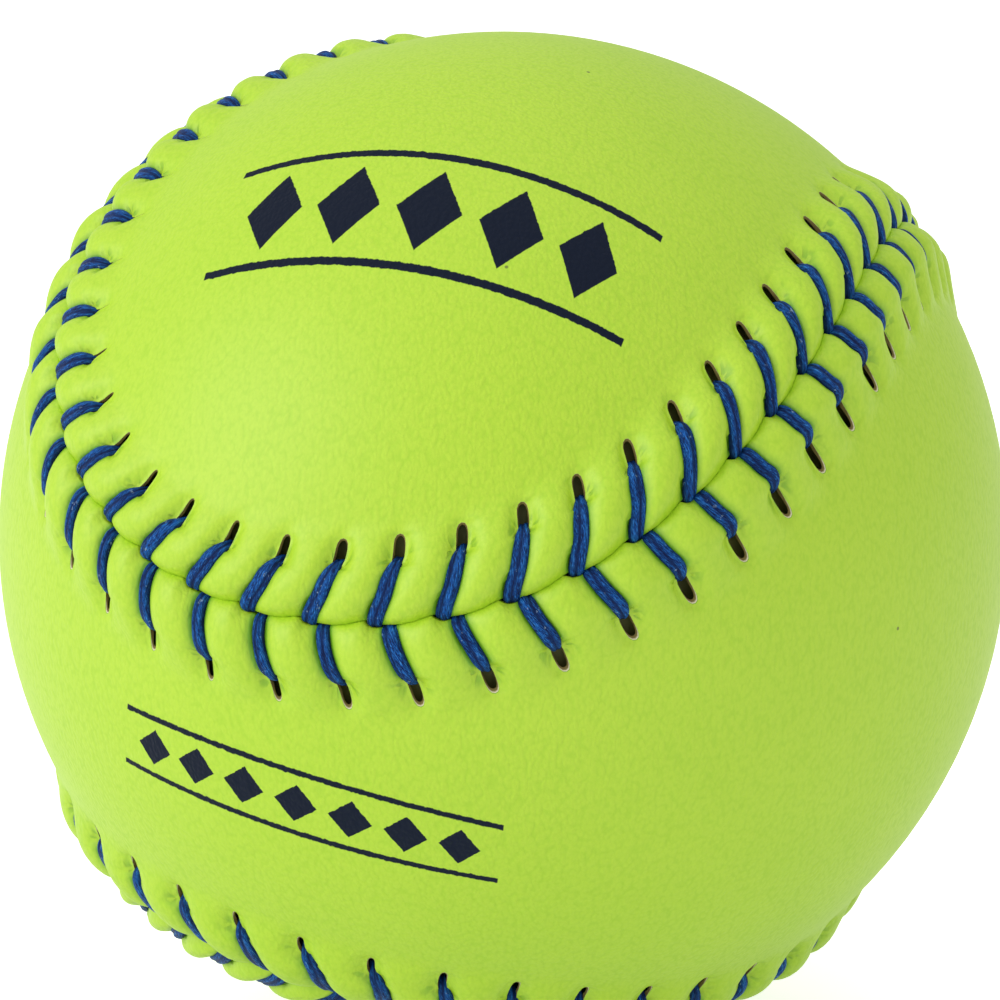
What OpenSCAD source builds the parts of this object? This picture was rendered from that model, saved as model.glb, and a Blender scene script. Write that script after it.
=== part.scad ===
// Softball: a foam core, its cement coat, two figure-eight cover panels and the two threads that sew them
// The centre of the ball is the origin and +Z is up. All sizes are in millimetres.

/* [Ball] */
// Radius of the ball over its smooth cover
ball_r = 48.5; // [47:0.1:50]
// Thickness of a cover panel away from its seam
cover_t = 1.7; // [1.4:0.1:2.2]
// Thickness of the cement coat
coat_t = 0.4; // [0.2:0.1:0.8]
// Room between the cement coat and the back of the cover
seat_gap = 0.3; // [0.3:0.05:0.5]
// Room between the core and the cement coat
bond_gap = 0.1; // [0.05:0.05:0.2]

/* [Seam] */
// Rows of stitches round the ball
rows = 88; // [80:8:96]
// Swing of the seam from side to side, as a share of the ball
swing_share = 0.477; // [0.45:0.001:0.5]
// Rise of the seam towards the waists, as a share of the ball
rise_share = 1.11; // [1.05:0.01:1.2]
// Height of the lip on a pillow between two stitches
lip_h = 2.0; // [1.6:0.1:2.3]
// Distance from the seam at which the lip has run out
lip_w = 9.5; // [9:0.1:10.5]
// Angle of the seam about X
x_angle = 65; // [0:1:360]
// Angle of the seam about Y
y_angle = 27.6; // [0:0.1:360]
// Angle of the seam about Z
z_angle = 130.1; // [0:0.1:360]

/* [Stitching] */
// Thickness of the waxed thread
thread_d = 1.2; // [1:0.05:1.3]
// Room round the thread in its slots and under the lips
thread_gap = 0.15; // [0.1:0.01:0.2]
// Distance from the seam at which a stitch goes down through its slot
slot_off = 5.5; // [5.3:0.1:5.9]
// Length of a punched slot, of which the stitch fills the near end
slot_l = 2.8; // [2:0.1:3.2]
// Lean of the stitches on panel A along the seam
lean_a = 2.4; // [1.4:0.1:3.4]
// Lean of the stitches on panel B along the seam
lean_b = 0.7; // [0:0.1:1.5]
// Drift of the punched rows of slots along the seam
drift = 2.25; // [0:0.05:2.5]

/* [Hidden] */

// Layers, from the outside in
coat_r = ball_r - cover_t - seat_gap;
core_r = coat_r - coat_t - bond_gap;

// Place of the first row of stitches, in pitches from the start of the seam
first_row_share = 0.675;
// Angle from a panel's waist to each end of the spine that its facets meet on
spine_angle = 112;

// Facets: seam steps in the run table, interior rings of a panel, sides of a thread
seam_steps = 360;
rings = 3;
sides = 5;
fine = 96;
slot_fine = 24;

// A direction of unit length
function unit(v) = v / norm(v);

// Direction of the seam from the centre, at angle t of its run round the ball
function seam_at(t) = unit([
    cos(t) + swing_share * cos(3 * t),
    sin(t) - swing_share * sin(3 * t),
    rise_share * sin(2 * t)
]);

// Direction in which the seam moves as t grows, before it is made square to the seam's own direction
function seam_rate(t) = [
    -sin(t) - 3 * swing_share * sin(3 * t),
    cos(t) - 3 * swing_share * cos(3 * t),
    2 * rise_share * cos(2 * t)
];

// Direction across the seam, towards panel A
function seam_side(t) = unit(cross(seam_at(t), seam_rate(t)));

// Length of the seam up to each step, with the angle reached there
function step_turn(i) = 360 * i / seam_steps;
function step_run(i) = ball_r * norm(seam_at(step_turn(i + 1)) - seam_at(step_turn(i)));
run_table = [
    for (i = 0, run = 0; i <= seam_steps; run = run + step_run(i), i = i + 1) [run, step_turn(i)]
];
seam_run = run_table[seam_steps][0];
pitch = seam_run / rows;

// Angle t of the seam at a length run along it, which may pass the start
function turn_at(run) = lookup(run - seam_run * floor(run / seam_run), run_table);

// Point at a length along the seam, a distance across it towards panel A, and a height over the cover
function at(run, off, h) =
    let (t = turn_at(run), a = off / ball_r * 180 / PI)
    (ball_r + h) * (cos(a) * seam_at(t) + sin(a) * seam_side(t));

// Half the step between the two threads where they dive side by side, and half the mouth that opens for them
dive_step = (thread_d + thread_gap) / 2;
mouth_off = thread_d;

// Share of the drift at a share s of the seam, for panel A's row of slots and for panel B's
function drift_a_share(s) = lookup(s, [
    [0, 0], [0.125, -0.44], [0.217, -0.93], [0.289, -0.89], [0.314, -0.58], [0.336, -0.18],
    [0.361, -0.02], [0.394, -0.04], [0.417, 0.4], [0.439, 0.71], [0.467, 0.89], [0.486, 0.71],
    [0.519, 0.27], [0.553, -0.09], [0.667, 0], [0.833, 0.09], [1, 0]
]);
function drift_b_share(s) = lookup(s, [
    [0, 0], [0.167, 0.53], [0.292, 0.84], [0.336, 1], [0.383, 0.96], [0.428, 0.67],
    [0.45, 0.36], [0.472, -0.09], [0.497, -0.58], [0.519, -0.98], [0.553, -1.16], [0.625, -0.76],
    [0.75, -0.22], [0.814, -0.18], [0.861, -0.04], [0.917, 0], [1, 0]
]);

// Length along the seam of row k (a half number is a pillow) and of the middle of its slot, on side sg
// (1 on panel A, -1 on panel B)
function lean(sg) = sg > 0 ? lean_a : lean_b;
function row_run(k) = (k + first_row_share) * pitch;
function turns_share(run) = run / seam_run - floor(run / seam_run);
function drift_share(s, sg) = sg > 0 ? drift_a_share(s) : drift_b_share(s);
function slot_mid(k, sg) = row_run(k) + lean(sg) + drift * drift_share(turns_share(row_run(k)), sg);

// Length along the seam of a stitch, which leaves the seam at its dive and leans until it reaches its slot,
// and of a place in the slot: a share of the way from the stitch to the slot's far end. A slot leans by its
// own share of its stitch's lean.
slot_lean_share = 0.17;
function dive_run(k, sg) = row_run(k) - sg * dive_step;
function slot_run(k, sg, share) =
    let (lean_by = slot_mid(k, sg) - dive_run(k, sg))
    slot_mid(k, sg) + (share - 0.5) * slot_lean_share * lean_by;
function stitch_run(k, sg, off) =
    let (share = max(off - mouth_off, 0) / (slot_off - mouth_off))
    (1 - share) * dive_run(k, sg) + share * slot_run(k, sg, 0);

// Places across the lip: edge on a pillow, crest, shoulder and the end of the raised back
edge_off = thread_gap;
crest_off = 0.38 * slot_off;
shoulder_off = 0.83 * slot_off;
back_off = (slot_off + lip_w) / 2;

// Heights of the lip over the cover, on a pillow and in the valley under a stitch
edge_h = 0.55 * lip_h;
crest_h = lip_h;
shoulder_h = 0.75 * lip_h;
mouth_valley_h = 0.16 * lip_h;
crest_valley_h = 0.38 * lip_h;
shoulder_valley_h = 0.28 * lip_h;
slot_valley_h = shoulder_valley_h * (lip_w - slot_off) / (lip_w - shoulder_off);

// A straight run of thread under the lip bows below its ends by this much. The back of the cover clears it.
bow = (slot_off * slot_off + pitch * pitch) / (8 * coat_r);
hidden_h = bow + thread_gap + thread_d / 2 - cover_t - seat_gap;
back_h = hidden_h + thread_d / 2 + thread_gap;

// Height of the thread's middle over the valley that it lies in
ride_h = 0.6 * thread_d + thread_gap;

// Where a thread tips over the lip's edge, and how far past the seam it is when it has reached its depth
dive_off = 0.75 * thread_d;
pass_off = 0.25 * thread_d;
path_points = len(stitch_path(0, 1));

// Stitch slots, punched past both faces of the cover
slot_r = thread_d / 2 + thread_gap;
over = thread_d;

// A panel's rows of points, from inside the back to inside the front. Fine rows have two columns a stitch.
function is_valley(c) = c % 2 == 0;
function fine_row(sg, valley_off, pillow_off, valley_h, pillow_h) = [
    for (c = [0:2 * rows - 1])
        let (off = is_valley(c) ? valley_off : pillow_off)
        at(stitch_run(c / 2, sg, off), sg * off, is_valley(c) ? valley_h : pillow_h)
];
function plain_row(sg, off, h) = [for (j = [0:rows - 1]) at(j * pitch, sg * off, h)];

// A panel's spine runs from one lobe's middle over the waist to the other's. Columns mirrored in it share a
// point, and the points crowd towards its ends, where the columns fan out round the lobe.
function tip_column(sg) = sg > 0 ? 3 * rows / 8 : rows / 8;
function spine_place(sg, j) =
    let (q = (j - tip_column(sg) + 2 * rows) % rows)
    min(q, rows - q);
function spine_dir(sg, place) =
    let (a = spine_angle * -cos(360 * place / rows))
    cos(a) * [0, 0, sg] + sin(a) * unit([sg, -1, 0]);

// A ring inside the panel: a share of the way over the ball from the lip's foot to the spine
function blend_dir(u, v, share) =
    let (a = acos(u * v))
    (sin((1 - share) * a) * u + sin(share * a) * v) / sin(a);
function inner_row(sg, share, h) = [
    for (j = [0:rows - 1])
        (ball_r + h) * blend_dir(
            unit(at(j * pitch, sg * lip_w, 0)), spine_dir(sg, spine_place(sg, j)), share)
];
function spine_row(sg, h) = [for (place = [0:rows / 2]) (ball_r + h) * spine_dir(sg, place)];

// Faces turned over
function turned(faces) = [for (f = faces) [f[2], f[1], f[0]]];

// Faces between two rows of n points, which start at points a and b
function band(a, b, n) = [
    for (i = [0:n - 1], half = [0:1])
        let (k = (i + 1) % n)
        half == 0 ? [a + i, a + k, b + k] : [a + i, b + k, b + i]
];

// Faces between a row of n points and a fine row of twice as many, which starts skip columns further on
function fine_index(i, skip) = (i - skip + 4 * rows) % (2 * rows);
function widening(a, b, n, skip) = [
    for (i = [0:n - 1], part = [0:2])
        let (
            k = a + (i + 1) % n,
            near = b + fine_index(2 * i, skip),
            mid = b + fine_index(2 * i + 1, skip),
            far = b + fine_index(2 * i + 2, skip)
        )
        part == 0 ? [a + i, mid, near] : part == 1 ? [a + i, k, mid] : [k, far, mid]
];

// Faces between the innermost ring and the spine. The diagonal turns at a tip, so no face stands on edge.
function zip(a, spine, sg) = [
    for (i = [0:rows - 1], half = [0:1])
        let (
            k = (i + 1) % rows,
            p = spine_place(sg, i),
            q = spine_place(sg, k),
            from_tip = p == 0 || p == rows / 2
        )
        half == 0
            ? [a + i, a + k, spine + (from_tip ? p : q)]
            : [from_tip ? a + k : a + i, spine + q, spine + p]
];

// One cover panel: rings of the back, the raised back, fine rows round the lip, rings of the front, spines
module panel(sg) {
    backs = [for (m = [rings:-1:0]) inner_row(sg, m / (rings + 1), -cover_t)];
    back = plain_row(sg, back_off, back_h);
    fines = [
        fine_row(sg, mouth_off, edge_off, back_h, back_h),
        fine_row(sg, mouth_off, edge_off, mouth_valley_h, edge_h),
        fine_row(sg, crest_off, crest_off, crest_valley_h, crest_h),
        fine_row(sg, shoulder_off, shoulder_off, shoulder_valley_h, shoulder_h)
    ];
    fronts = [for (m = [0:rings]) inner_row(sg, m / (rings + 1), 0)];
    points = concat(
        [for (row = backs) each row],
        back,
        [for (row = fines) each row],
        [for (row = fronts) each row],
        spine_row(sg, -cover_t),
        spine_row(sg, 0)
    );
    back_at = (rings + 1) * rows;
    fine_at = back_at + rows;
    front_at = fine_at + len(fines) * 2 * rows;
    spine_at = front_at + (rings + 1) * rows;
    edge_skip = round(2 * (first_row_share - sg * dive_step / pitch));
    shoulder_skip = round(2 * (first_row_share + lean(sg) / pitch));
    faces = concat(
        [for (m = [0:rings]) each band(m * rows, (m + 1) * rows, rows)],
        widening(back_at, fine_at, rows, edge_skip),
        [for (m = [0:2]) each band(fine_at + 2 * m * rows, fine_at + 2 * (m + 1) * rows, 2 * rows)],
        turned(widening(front_at, front_at - 2 * rows, rows, shoulder_skip)),
        [for (m = [0:rings - 1]) each band(front_at + m * rows, front_at + (m + 1) * rows, rows)],
        turned(zip(0, spine_at, sg)),
        zip(front_at + rings * rows, spine_at + rows / 2 + 1, sg)
    );
    difference() {
        polyhedron(points, sg > 0 ? turned(faces) : faces);
        for (k = [0:rows - 1]) stitch_slot(k, sg);
    }
}

// A slot square to the ball where a stitch goes down, with round ends, that runs out away from the seam
module stitch_slot(k, sg) {
    reach = slot_l - 2 * slot_r;
    near = at(slot_run(k, sg, 0), sg * slot_off, 0);
    far = at(slot_run(k, sg, 1), sg * (slot_off + reach), 0);
    tilt = acos(near.z / norm(near));
    turn = atan2(near.y, near.x);
    down = [cos(tilt) * cos(turn), cos(tilt) * sin(turn), -sin(tilt)];
    east = [-sin(turn), cos(turn), 0];
    rotate([0, tilt, turn])
        translate([0, 0, ball_r + back_h - over])
            rotate([0, 0, atan2((far - near) * east, (far - near) * down)])
                linear_extrude(height = lip_h - back_h + 2 * over) {
                    circle(r = slot_r, $fn = slot_fine);
                    translate([reach, 0]) circle(r = slot_r, $fn = slot_fine);
                    translate([0, -slot_r]) square([reach, 2 * slot_r]);
                }
}

// A thread's path, stitch by stitch towards lower rows: up a slot, over the lip, down at the seam, and under
// the other panel to its next slot. The first thread starts on panel A and the second on panel B.
function stitch_path(k, sg) = [
    at(slot_run(k, sg, 0), sg * slot_off, hidden_h),
    at(slot_run(k, sg, 0), sg * slot_off, slot_valley_h + ride_h + thread_gap),
    at(stitch_run(k, sg, shoulder_off), sg * shoulder_off, shoulder_valley_h + ride_h),
    at(stitch_run(k, sg, dive_off), sg * dive_off, crest_valley_h + ride_h + thread_gap),
    at(stitch_run(k, sg, 0), -sg * pass_off, hidden_h)
];
function thread_path(first) = [
    for (n = [0:rows - 1]) each stitch_path(rows - n, (n + first) % 2 == 0 ? 1 : -1)
];

// Points of a closed thread: a ring at each point of its path, in the plane that halves the bend there
module thread(first) {
    path = thread_path(first);
    n = len(path);
    points = [
        for (i = [0:n - 1])
            let (
                p = path[i],
                before = unit(p - path[(i + n - 1) % n]),
                after = unit(path[(i + 1) % n] - p),
                d = unit(before + after),
                along = unit(cross(seam_side(turn_at(row_run(rows - floor(i / path_points)))), p)),
                a = unit(along - (along * d) * d),
                b = cross(d, a) / (before * d)
            )
            for (s = [0:sides - 1])
                p + thread_d / 2 * (cos(360 * s / sides) * a + sin(360 * s / sides) * b)
    ];
    faces = [
        for (i = [0:n - 1], s = [0:sides - 1], half = [0:1])
            let (j = (i + 1) % n, t = (s + 1) % sides)
            half == 0
                ? [i * sides + s, j * sides + t, i * sides + t]
                : [i * sides + s, j * sides + s, j * sides + t]
    ];
    polyhedron(points, faces);
}

module turned_seam() { rotate([x_angle, y_angle, z_angle]) children(); }

module core() { color("#e9dfc4") sphere(r = core_r, $fn = fine); }

module cement_coat() {
    color("#d8cda8") difference() {
        sphere(r = coat_r, $fn = fine);
        sphere(r = coat_r - coat_t, $fn = fine);
    }
}

module cover_panel_a() { color("#b7dc45") turned_seam() panel(1); }
module cover_panel_b() { color("#b7dc45") turned_seam() panel(-1); }
module thread_a() { color("#1f56a4") turned_seam() thread(0); }
module thread_b() { color("#1f56a4") turned_seam() thread(1); }

core();
cement_coat();
cover_panel_a();
cover_panel_b();
thread_a();
thread_b();
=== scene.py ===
"""Softball: two figure-eight leather panels, drawn together over a foam core by two waxed threads.

The centre of the ball is the origin, +Z is up and the camera looks along +Y. Shapes are worked out in
millimetres and stored in metres. A place on the cover is given by three lengths: run, along the seam from
its start; off, across the seam towards panel A; and height, over the smooth ball.
"""

import logging
import math
from dataclasses import dataclass, field
from enum import Enum
from typing import Any

import bpy
import numpy as np
from mathutils import Matrix, Vector


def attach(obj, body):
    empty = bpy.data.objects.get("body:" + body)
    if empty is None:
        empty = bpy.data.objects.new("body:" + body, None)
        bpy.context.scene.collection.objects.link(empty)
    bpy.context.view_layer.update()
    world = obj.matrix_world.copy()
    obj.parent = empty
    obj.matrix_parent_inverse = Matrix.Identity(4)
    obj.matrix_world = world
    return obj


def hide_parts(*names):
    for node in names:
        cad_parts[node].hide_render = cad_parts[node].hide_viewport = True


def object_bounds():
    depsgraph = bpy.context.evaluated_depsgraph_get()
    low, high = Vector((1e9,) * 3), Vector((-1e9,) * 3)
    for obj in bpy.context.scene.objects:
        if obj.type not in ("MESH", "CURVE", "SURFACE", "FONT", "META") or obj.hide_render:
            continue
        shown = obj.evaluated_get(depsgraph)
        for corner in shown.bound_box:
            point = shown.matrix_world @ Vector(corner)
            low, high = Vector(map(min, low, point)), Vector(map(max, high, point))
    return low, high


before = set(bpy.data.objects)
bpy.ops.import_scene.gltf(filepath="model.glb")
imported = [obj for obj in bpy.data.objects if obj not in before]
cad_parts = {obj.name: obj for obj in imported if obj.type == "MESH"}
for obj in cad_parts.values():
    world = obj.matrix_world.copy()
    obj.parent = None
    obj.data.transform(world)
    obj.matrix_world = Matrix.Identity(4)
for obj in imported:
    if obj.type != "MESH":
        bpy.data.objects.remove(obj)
cad_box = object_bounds()

ROOT = "root"
MM = 0.001
TAU = 2 * math.pi
Colour = tuple[float, float, float]
Span = tuple[float, float]
Knots = list[tuple[float, float]]
log = logging.getLogger("softball")


class Side(Enum):
    """The two cover panels, by the side of the seam that each lies on."""

    A = 1
    B = -1


def srgb(*levels: int) -> Colour:
    """A colour as a screen gives it, in the linear values that a shader takes, by the sRGB curve.

    Args:
        *levels: Red, green and blue, from 0 to 255.

    Returns:
        The three linear values.
    """
    shares = np.array(levels) / 255
    linear = np.where(shares <= 0.04045, shares / 12.92, ((shares + 0.055) / 1.055) ** 2.4)
    return tuple(float(v) for v in linear)


def unit(v: np.ndarray) -> np.ndarray:
    """Vectors brought to a length of one."""
    return v / np.linalg.norm(v, axis=-1, keepdims=True)


def bell(x: np.ndarray, middle: float, width: float) -> np.ndarray:
    """A bell, 1 at its middle: exp(-((x - middle) / width) ** 2)."""
    return np.exp(-(((x - middle) / width) ** 2))


def ease(x: np.ndarray, low: np.ndarray | float, high: np.ndarray | float) -> np.ndarray:
    """A smooth step: 0 below low, 1 above high, and s * s * (3 - 2 * s) at the share s of the way."""
    s = np.clip((x - low) / (high - low), 0, 1)
    return s * s * (3 - 2 * s)


def eased_knots(x: np.ndarray, knots: Knots) -> np.ndarray:
    """A curve that goes from knot to knot in smooth steps and is level at each knot.

    Args:
        x: Where the curve is read.
        knots: Places, in rising order, each with its height.

    Returns:
        The height of the curve at each place.
    """
    places, values = np.array(knots, float).T
    at = np.clip(np.searchsorted(places, x, side="right") - 1, 0, len(places) - 2)
    s = ease(x, places[at], places[at + 1])
    return values[at] * (1 - s) + values[at + 1] * s


def band(lower: np.ndarray, upper: np.ndarray) -> np.ndarray:
    """Quads between closed rings of point numbers, which run along the last axis, lower ring first."""
    quads = np.stack([lower, np.roll(lower, -1, -1), np.roll(upper, -1, -1), upper], -1)
    return quads.reshape(-1, 4)


def narrowing(fine: np.ndarray, coarse: np.ndarray) -> np.ndarray:
    """Triangles between a closed ring of points and one with half as many.

    Args:
        fine: Point numbers of the finer ring.
        coarse: Point numbers of the coarser ring, level with every other fine point.

    Returns:
        An array with three point numbers in each row.
    """
    near, mid, far = fine[0::2], fine[1::2], np.roll(fine[0::2], -1)
    ahead = np.roll(coarse, -1)
    parts = [(near, mid, coarse), (mid, ahead, coarse), (mid, far, ahead)]
    return np.concatenate([np.stack(part, -1) for part in parts])


def store(
    name: str, points: np.ndarray, faces: list[np.ndarray], attributes: dict[str, np.ndarray], sharp: float
) -> bpy.types.Object:
    """A new mesh object at the origin, with its place in its mesh.

    Args:
        name: The piece's name.
        points: Points in millimetres.
        faces: Arrays of point numbers, each with one face in a row.
        attributes: Numbers or vectors that the finish reads at each point.
        sharp: Angle in degrees past which an edge stays crisp.

    Returns:
        The object.
    """
    mesh = bpy.data.meshes.new(name)
    sizes = np.concatenate([np.full(len(f), f.shape[1]) for f in faces])
    corners = np.concatenate([f.ravel() for f in faces]).astype(np.int32)
    mesh.vertices.add(len(points))
    mesh.vertices.foreach_set("co", (points * MM).astype(np.float32).ravel())
    mesh.loops.add(len(corners))
    mesh.loops.foreach_set("vertex_index", corners)
    mesh.polygons.add(len(sizes))
    mesh.polygons.foreach_set("loop_start", (np.cumsum(sizes) - sizes).astype(np.int32))
    mesh.polygons.foreach_set("use_smooth", np.ones(len(sizes), bool))
    mesh.update(calc_edges=True)
    mesh.validate()
    mesh.set_sharp_from_angle(angle=math.radians(sharp))
    for key, values in attributes.items():
        is_vector = values.ndim == 2
        layer = mesh.attributes.new(key, "FLOAT_VECTOR" if is_vector else "FLOAT", "POINT")
        layer.data.foreach_set("vector" if is_vector else "value", values.astype(np.float32).ravel())
    piece = bpy.data.objects.new(name, mesh)
    bpy.context.scene.collection.objects.link(piece)
    return piece


@dataclass
class Seam:
    """The closed curve that the two panels meet on, and its rows of stitches."""

    ball_r: float = 48.5  # over the smooth cover
    swing: float = 0.477  # from side to side, as a share of the ball
    rise: float = 1.11  # towards the waists, as a share of the ball
    turns: tuple[float, float, float] = (65.0, 27.6, 130.1)  # about X, then Y, then Z
    rows: int = 88
    first_row_share: float = 0.675  # place of the first row, in pitches from the seam's start
    steps: int = 3600  # in the table of lengths

    def __post_init__(self) -> None:
        """Measures the seam by its chords, and turns it to its place on the ball."""
        self.angles = np.linspace(0, TAU, self.steps + 1)
        chords = np.linalg.norm(np.diff(self.heading(self.angles), axis=0), axis=1)
        self.runs = np.concatenate([[0], np.cumsum(self.ball_r * chords)])
        self.length = float(self.runs[-1])
        self.pitch = self.length / self.rows
        about_x, about_y, about_z = (
            Matrix.Rotation(math.radians(angle), 3, axis) for angle, axis in zip(self.turns, "XYZ")
        )
        self.turn = np.array(about_z @ about_y @ about_x)

    def heading(self, t: np.ndarray) -> np.ndarray:
        """Directions to the seam: (cos t + swing cos 3t, sin t - swing sin 3t, rise sin 2t).

        Args:
            t: Angles along the seam.

        Returns:
            The directions, before the ball is turned.
        """
        x = np.cos(t) + self.swing * np.cos(3 * t)
        y = np.sin(t) - self.swing * np.sin(3 * t)
        return unit(np.stack([x, y, self.rise * np.sin(2 * t)], -1))

    def across(self, t: np.ndarray) -> np.ndarray:
        """Directions across the seam, towards panel A: its heading crossed with the heading's rate.

        Args:
            t: Angles along the seam.

        Returns:
            The directions, before the ball is turned.
        """
        x = -np.sin(t) - 3 * self.swing * np.sin(3 * t)
        y = np.cos(t) - 3 * self.swing * np.cos(3 * t)
        rate = np.stack([x, y, 2 * self.rise * np.cos(2 * t)], -1)
        return unit(np.cross(self.heading(t), rate))

    def angle_at(self, run: np.ndarray) -> np.ndarray:
        """The angle t that the seam has reached after a length, which may pass the start."""
        return np.interp(np.mod(run, self.length), self.runs, self.angles)

    def at(self, run: np.ndarray, off: np.ndarray, height: np.ndarray | float) -> np.ndarray:
        """Points on or over the cover: the seam's heading turned by off / ball_r towards its side.

        Args:
            run: Lengths along the seam.
            off: Lengths across it, towards panel A.
            height: Heights over the smooth ball.

        Returns:
            The points, in millimetres, turned to their place on the ball.
        """
        run, off, height = np.broadcast_arrays(run, off, height)
        t = self.angle_at(run)
        a = (off / self.ball_r)[..., None]
        direction = np.cos(a) * self.heading(t) + np.sin(a) * self.across(t)
        return (self.ball_r + height)[..., None] * direction @ self.turn.T

    def along(self, run: np.ndarray) -> np.ndarray:
        """Directions along the seam: its side crossed with its heading."""
        t = self.angle_at(run)
        return np.cross(self.across(t), self.heading(t)) @ self.turn.T

    def stretch(self, run: np.ndarray, off: np.ndarray, step: float = 0.1) -> np.ndarray:
        """How long a millimetre of the seam is at a distance off it, by a central difference."""
        ends = self.at(run + step / 2, off, 0.0) - self.at(run - step / 2, off, 0.0)
        return np.linalg.norm(ends, axis=-1) / step


@dataclass(frozen=True)
class Lay:
    """How the stitches of one panel were laid by hand, in millimetres but for the shares.

    rows has knots of a row and a value, in straight lines round the ball, for what sets a row apart: drift
    moves its slot along the seam; near and far move the slot's ends out; dive moves the stitch's end in the
    seam; bow and bend move it beyond and before its middle; girth is the width of its inner end and wide
    that of its slot, as shares.
    """

    lean: float  # of an even slot, along the seam
    turn_share: float  # how much of a stitch's lean past turn_from its slot has
    turn_from: float
    dive_off: float  # distance from the seam at which the thread dives
    edge: Knots  # how far the panel's edge draws back, from one dive to the next
    rows: dict[str, Knots]


LAYS = {
    Side.A: Lay(
        lean=2.4, turn_share=0.28, turn_from=1.8, dive_off=0.08,
        edge=[(0, 0), (0.04, 0), (0.26, 0), (0.45, 0.1), (0.6, 0.28), (0.71, 0.4), (0.8, 0.45),
              (0.84, 0.85), (0.89, 0.85), (0.93, 0.04), (1, 0)],
        rows={
            "drift": [(0, 0), (18, -2), (24, -2.4), (28, -1.6), (31, -0.9), (35, 0), (37, 1.2), (40.5, 2.2),
                      (43, 1.4), (46, 0.7), (48, -0.2), (54, 0), (72, -0.4), (74, -1.1), (78, -1.2)],
            "near": [(18, 0), (22, -0.25), (27, -0.3), (30, -0.85), (33, -0.4), (34, 0), (36, 0.25),
                     (40, 0.2), (48, 0)],
            "far": [(0, 0), (22, -0.35), (30, -0.75), (33, -0.3), (35, 0.2), (39, 0.05), (43, -0.15),
                    (46, 0)],
            "dive": [(18, 0), (24, -0.2), (30, 0.05), (35, 0.3), (38, 0.75), (41, 1), (42, 0.5), (44, 0.1),
                     (46, -0.9), (48, -1.2), (54, -0.5), (65, 0), (70, -0.6), (75, -2.4), (78, -2),
                     (86, 0)],
            "bow": [(22, 0), (26, -0.2), (31, -0.35), (35, -0.35), (37, -0.25), (39, -0.4), (40, -0.1),
                    (42, -0.2), (44, 0.05), (45, -0.3), (48, 0)],
            "bend": [(26, 0), (31, 0.1), (36, 0), (41, 0.1), (43.5, 0.3), (46, 0.2), (48, 0)],
            "girth": [(0, 0.92), (18, 0.95), (22, 0.88), (29, 0.88), (31, 0.9), (39, 0.9), (41, 0.74),
                      (43, 0.6), (46, 0.6), (54, 0.92)],
            "wide": [(10, 1), (18, 0.3), (22, 0.05), (26, 0.05), (28, 0.45), (33, 0.8), (34, 1)],
        },
    ),
    Side.B: Lay(
        lean=0.7, turn_share=0.17, turn_from=0.0, dive_off=0.32,
        edge=[(0, -0.22), (0.03, -0.3), (0.08, -1), (0.19, -1), (0.235, -0.05), (0.32, 0.02), (0.45, 0.1),
              (0.6, 0.28), (0.71, 0.4), (0.75, 0.08), (0.8, -0.16), (0.866, -0.26), (0.96, -0.24),
              (1, -0.22)],
        rows={
            "drift": [(0, 0), (10, 0.9), (29, 2.1), (32, 1.7), (33.5, 1.95), (39, 0.8), (42, -0.4),
                      (45, -1.7), (48, -2.1), (54, -1.7), (65, -0.5), (75, -0.3)],
            "near": [(0, 0), (24, 0.25), (33, 0.45), (34, 0.05), (38, 0), (40, -0.35), (42, -0.85),
                     (46, -0.8), (54, -0.35), (72, -0.5), (74, -0.1), (76, 0.3)],
            "far": [(0, 0), (33, 0.35), (36, 0.1), (39, 0.3), (41, 0.25), (42, 0), (46, -0.3), (65, -0.15),
                    (70, -0.5), (72, 0.15), (74, 0), (76, 0.2), (78, 0)],
            "dive": [(0, 0), (24, 0.15), (28, -0.1), (29, 0.2), (31, -0.3), (32, 0), (35, -0.05), (39, 0.2),
                     (41, 0), (42, -0.35), (45, -1.5), (48, -1.9), (54, -0.8), (65, 0), (70, -0.5),
                     (72, -1.2), (75, -3), (78, -1.6)],
            "bow": [(22, 0), (26, -0.5), (29, 0), (31, -0.3), (34, -0.4), (36, 0), (38, 0.2), (41, 0.5),
                    (44, 0.45), (46, 0.2), (54, 0.1), (65, -0.15), (72, -0.5), (75, -0.9), (78, 0)],
            "bend": [(26, 0), (28, -0.3), (29, -0.1), (31, -0.25), (33, -0.3), (36, 0), (42, 0.05),
                     (45, -0.2), (48, 0), (72, 0), (74, -0.2), (78, 0)],
            "girth": [(0, 0.9), (22, 0.8), (26, 0.7), (33, 0.7), (35, 0.9), (38, 0.85), (48, 0.85),
                      (65, 0.93), (74, 1.05), (78, 1.05)],
            "wide": [(10, 1), (22, 0.6), (31, 0.6), (36, 1), (65, 1), (74, 0.7), (78, 0.7), (88, 1)],
        },
    ),
}

# Mean and spread of what differs by chance from one stitch to the next, in the order of the draws.
CHANCE = {"shift": (0, 0.06), "puff": (1, 0.05), "ride": (0, 0.04), "girth": (1, 0.035), "twist": (0, 0.35)}


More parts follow.
